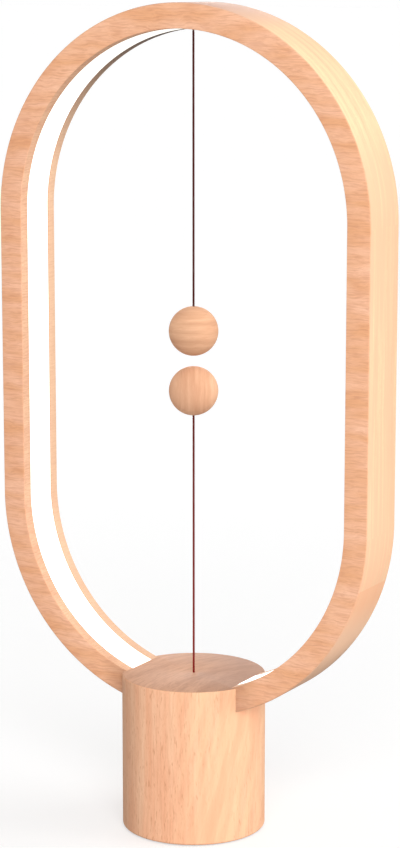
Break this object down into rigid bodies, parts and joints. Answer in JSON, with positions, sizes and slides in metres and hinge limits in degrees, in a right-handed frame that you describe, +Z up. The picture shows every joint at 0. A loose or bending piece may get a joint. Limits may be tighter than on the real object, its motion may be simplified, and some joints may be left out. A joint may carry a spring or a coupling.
{
  "type": "magnetic balance lamp",
  "caption": "Table lamp with an upright wooden light ring on a turned base, switched on by lifting a ball on a thread towards a hanging magnetic ball.",
  "frame": {"origin": "centre of the foot pad's underside, on the floor", "axes": "+Z up; the ring stands in the XZ plane; the front faces -Y and the power inlet +Y"},
  "size_m": [0.2, 0.07, 0.4],
  "materials": {
    "ring_wood": "satin oiled beech",
    "base_wood": "satin oiled beech",
    "cap_wood": "satin oiled beech, sanded face",
    "ball_wood": "satin turned beech",
    "diffuser_white": "translucent white, lit from behind",
    "strip_white": "flexible white circuit strip",
    "led_yellow": "clear yellowish",
    "thread_red": "twisted cord",
    "white_plastic": "matt",
    "black_plastic": "matt",
    "grey_plastic": "matt",
    "foot_foam": "matt foam",
    "steel": "plain",
    "ballast_steel": "dark oiled",
    "magnet_nickel": "nickel plated",
    "brass": "plain",
    "board_green": "solder mask",
    "parts_dark": "moulded",
    "button_red": "plain",
    "wire_red": "insulated",
    "wire_blue": "insulated"
  },
  "bodies": {
    "lamp_body": {"wood_ring": "ring_wood", "diffuser": "diffuser_white", "led_strip": "strip_white", "leds": "led_yellow", "thread_anchor": "white_plastic", "anchor_knot": "thread_red", "base_shell": "base_wood", "base_cap": "cap_wood", "thread_guide": "brass", "ring_screws": "steel", "foot_pad": "foot_foam", "bottom_cover": "black_plastic", "cover_screws": "steel", "ballast": "ballast_steel", "stack_screws": "steel", "switch_carrier": "grey_plastic", "micro_switch": "black_plastic", "switch_terminals": "steel", "switch_wires": "wire_blue", "return_spring": "steel", "control_board": "board_green", "board_parts": "parts_dark", "board_screws": "steel", "lead_wires": "wire_red", "inlet_shell": "steel", "inlet_tongue": "black_plastic", "inlet_bezel": "black_plastic"},
    "pull_rod": {"pull_rod": "white_plastic", "stop_clip": "steel", "thread_crimp": "brass", "pull_thread": "thread_red"},
    "switch_lever": {"switch_lever": "steel"},
    "switch_button": {"switch_button": "button_red"},
    "upper_swivel": {"upper_swivel": "thread_red"},
    "upper_pendulum": {"upper_thread": "thread_red", "upper_knot": "thread_red", "upper_ball": "ball_wood", "upper_magnet": "magnet_nickel", "upper_plug": "ball_wood"},
    "lower_swivel": {"lower_swivel": "thread_red"},
    "lower_pendulum": {"lower_thread": "thread_red", "lower_knot": "thread_red", "lower_ball": "ball_wood", "lower_magnet": "magnet_nickel", "lower_plug": "ball_wood"}
  },
  "joints": [
    {"name": "upper_fore_aft", "type": "hinge", "parent": "lamp_body", "child": "upper_swivel", "pos_m": [0, 0, 0.3872], "axis": [1, 0, 0], "range_deg": [-45, 45]},
    {"name": "upper_side", "type": "hinge", "parent": "upper_swivel", "child": "upper_pendulum", "pos_m": [0, 0, 0.3872], "axis": [0, 1, 0], "range_deg": [-30, 30]},
    {"name": "rod_slide", "type": "slide", "parent": "lamp_body", "child": "pull_rod", "axis": [0, 0, 1], "range_m": [-0.003, 0], "stiffness_N_per_m": 150, "springref_m": 0.002, "deforming": ["return_spring"]},
    {"name": "lower_fore_aft", "type": "hinge", "parent": "pull_rod", "child": "lower_swivel", "pos_m": [0, 0, 0.0809], "axis": [1, 0, 0], "range_deg": [-75, 75], "stiffness_Nm_per_rad": 0.03},
    {"name": "lower_side", "type": "hinge", "parent": "lower_swivel", "child": "lower_pendulum", "pos_m": [0, 0, 0.0809], "axis": [0, 1, 0], "range_deg": [-30, 30], "stiffness_Nm_per_rad": 0.03},
    {"name": "lever_tilt", "type": "hinge", "parent": "lamp_body", "child": "switch_lever", "pos_m": [0.0245, 0, 0.0316], "axis": [0, 1, 0], "range_deg": [-10.4, 0]},
    {"name": "button_press", "type": "slide", "parent": "lamp_body", "child": "switch_button", "axis": [0, 0, 1], "range_m": [-0.00125, 0]}
  ],
  "couplings": [
    {"joint": "lever_tilt", "follows": "rod_slide", "rad_per_m": 60},
    {"joint": "button_press", "follows": "rod_slide", "ratio": 0.41}
  ]
}
